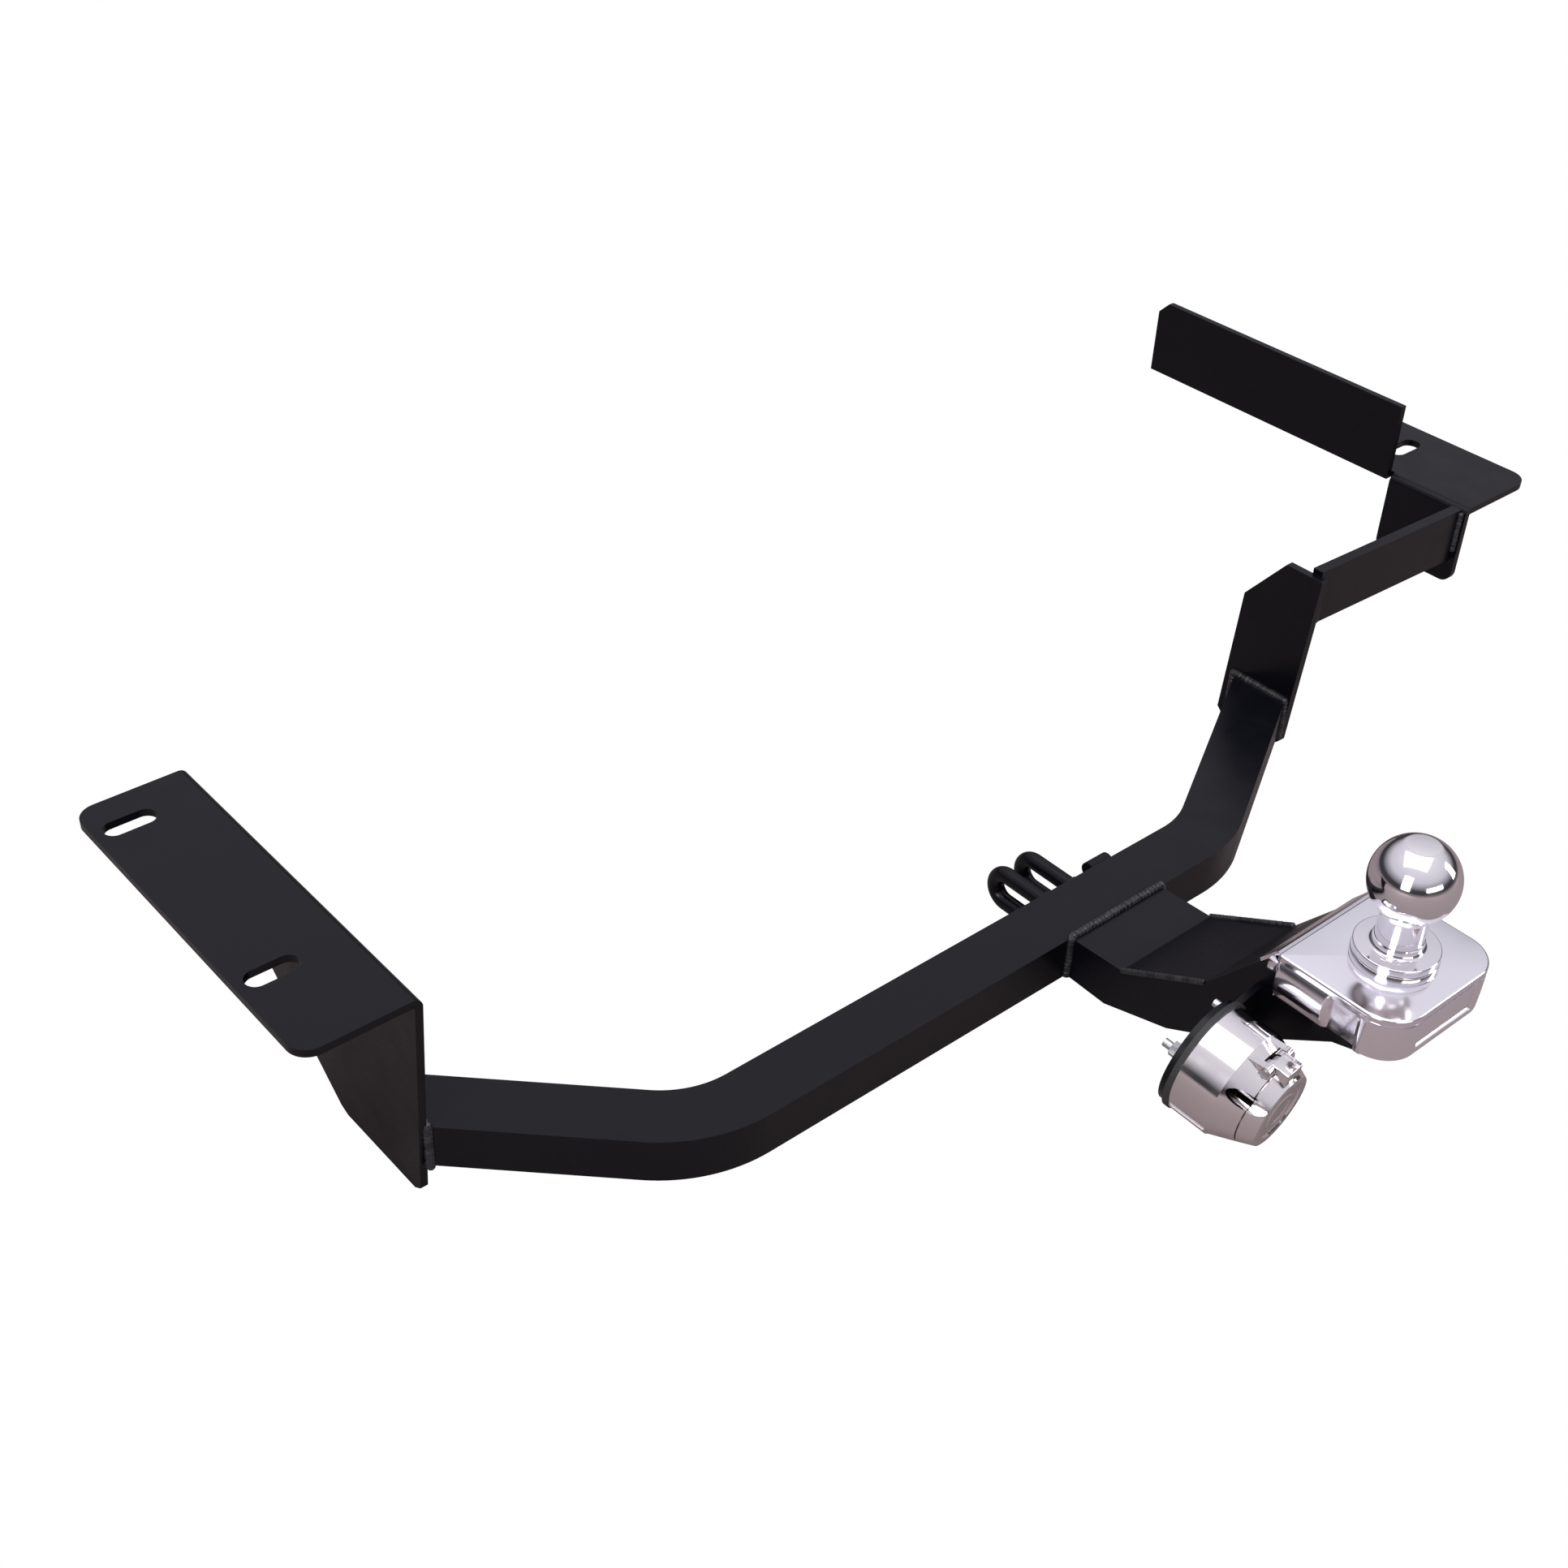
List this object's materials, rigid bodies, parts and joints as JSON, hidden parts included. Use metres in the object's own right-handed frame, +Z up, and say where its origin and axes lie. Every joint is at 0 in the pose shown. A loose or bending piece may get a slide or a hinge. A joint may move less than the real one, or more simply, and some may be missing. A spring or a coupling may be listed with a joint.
{
  "type": "fixed rear tow bar with ball platform and trailer socket",
  "caption": "Fixed tow bar: bent cross tube, slotted chassis brackets, raised tongue, ball platform with tow ball, chain loops and a lidded trailer socket.",
  "frame": {"origin": "middle of the four chassis bolt slots, on the level upper faces of the two brackets", "axes": "+X to the car's right, +Y forwards towards the car, +Z up; the ball is at -Y"},
  "size_m": [1.029, 0.609, 0.2215],
  "materials": {
    "gloss_black_steel": "gloss black powder coat",
    "polished_chrome": "mirror chrome plate",
    "socket_chrome": "bright chrome plate on a cast shell",
    "zinc_steel": "zinc plate",
    "black_rubber": "matt moulded rubber",
    "black_plastic": "moulded contact block",
    "contact_brass": "turned brass"
  },
  "bodies": {
    "tow_bar": {"cross_tube": "gloss_black_steel", "left_bracket": "gloss_black_steel", "right_bracket": "gloss_black_steel", "right_post": "gloss_black_steel", "outrigger_bar": "gloss_black_steel", "tongue_top": "gloss_black_steel", "tongue_sides": "gloss_black_steel", "tongue_floor": "gloss_black_steel", "ball_pad": "gloss_black_steel", "ball_platform": "polished_chrome", "tow_ball": "polished_chrome", "base_washer": "polished_chrome", "spring_washer": "zinc_steel", "ball_nut": "zinc_steel", "chain_loops": "gloss_black_steel", "socket_plate": "gloss_black_steel", "socket_gasket": "black_rubber", "socket_body": "socket_chrome", "lid_pin": "zinc_steel", "lid_spring": "zinc_steel", "contact_block": "black_plastic", "contact_pins": "contact_brass", "socket_screws": "zinc_steel", "socket_nuts": "zinc_steel"},
    "lid": {"socket_lid": "socket_chrome"}
  },
  "joints": [
    {"name": "socket_lid_hinge", "type": "hinge", "parent": "tow_bar", "child": "lid", "pos_m": [-0.08624, -0.42841, -0.04175], "axis": [-0.9945, -0.1045, 0], "range_deg": [0, 90], "stiffness_Nm_per_rad": 0.06, "springref_deg": -34.38}
  ]
}
